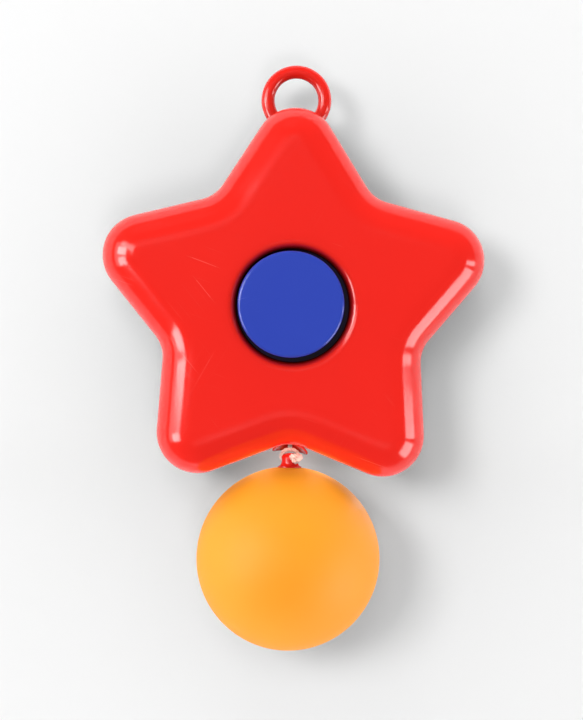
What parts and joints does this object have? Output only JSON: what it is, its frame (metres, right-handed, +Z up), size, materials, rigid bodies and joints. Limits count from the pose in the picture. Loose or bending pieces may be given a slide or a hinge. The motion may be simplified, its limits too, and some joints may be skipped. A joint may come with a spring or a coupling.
{
  "type": "hanging table tennis trainer",
  "caption": "Hanging table tennis trainer: an orange ball on a cord that winds into a red star-shaped reel casing with a blue push button and a hanging ring.",
  "frame": {"origin": "the point of the hanging ring's inside that rests on the hook", "axes": "+Z up as the trainer hangs, the button faces -Y, +X to the right seen from the button's side"},
  "size_m": [0.083, 0.04, 0.1277],
  "materials": {
    "red_casing": "gloss",
    "blue_button": "satin",
    "natural_plastic": "satin",
    "brake_rubber": "matte",
    "steel": "satin",
    "cord": "matte",
    "orange_ball": "matte"
  },
  "bodies": {
    "casing": {"front_shell": "red_casing", "back_shell": "red_casing", "hanging_ring": "red_casing", "cord_guide": "red_casing", "screw_top": "steel", "screw_left": "steel", "screw_lower_left": "steel", "screw_lower_right": "steel", "screw_right": "steel", "return_spring": "steel", "recoil_spring": "steel", "cord_lead": "cord"},
    "button_set": {"button": "blue_button", "push_rod": "steel", "brake_disc": "natural_plastic", "brake_pad": "brake_rubber"},
    "reel": {"spool": "natural_plastic", "spring_cover": "natural_plastic", "cord_core": "cord", "cord_winding": "cord"},
    "cord_run": {"cord_drop": "cord"},
    "cord_tie": {"cord_loop": "cord", "cord_knot": "cord"},
    "ball_set": {"ball_stem": "red_casing", "ball": "orange_ball"}
  },
  "joints": [
    {"name": "button_press", "type": "slide", "parent": "casing", "child": "button_set", "axis": [0, 1, 0], "range_m": [0, 0.0025], "stiffness_N_per_m": 400, "springref_m": -0.003, "deforming": ["return_spring"]},
    {"name": "spool_spin", "type": "hinge", "parent": "casing", "child": "reel", "pos_m": [0, 0, -0.04995], "axis": [0, 1, 0], "range_deg": [0, 3930], "deforming": ["recoil_spring"]},
    {"name": "cord_sway", "type": "hinge", "parent": "casing", "child": "cord_run", "pos_m": [0, 0, -0.07815], "axis": [0, 1, 0], "range_deg": [-8, 8]},
    {"name": "cord_pull", "type": "slide", "parent": "cord_run", "child": "cord_tie", "axis": [0, 0, -1], "range_m": [0, 1.1], "deforming": ["cord_drop", "cord_lead"]},
    {"name": "ball_tilt", "type": "hinge", "parent": "cord_tie", "child": "ball_set", "pos_m": [0, 0, -0.08335], "axis": [1, 0, 0], "range_deg": [-10, 10]}
  ],
  "couplings": [
    {"joint": "spool_spin", "follows": "cord_pull", "rad_per_m": 62.11}
  ]
}
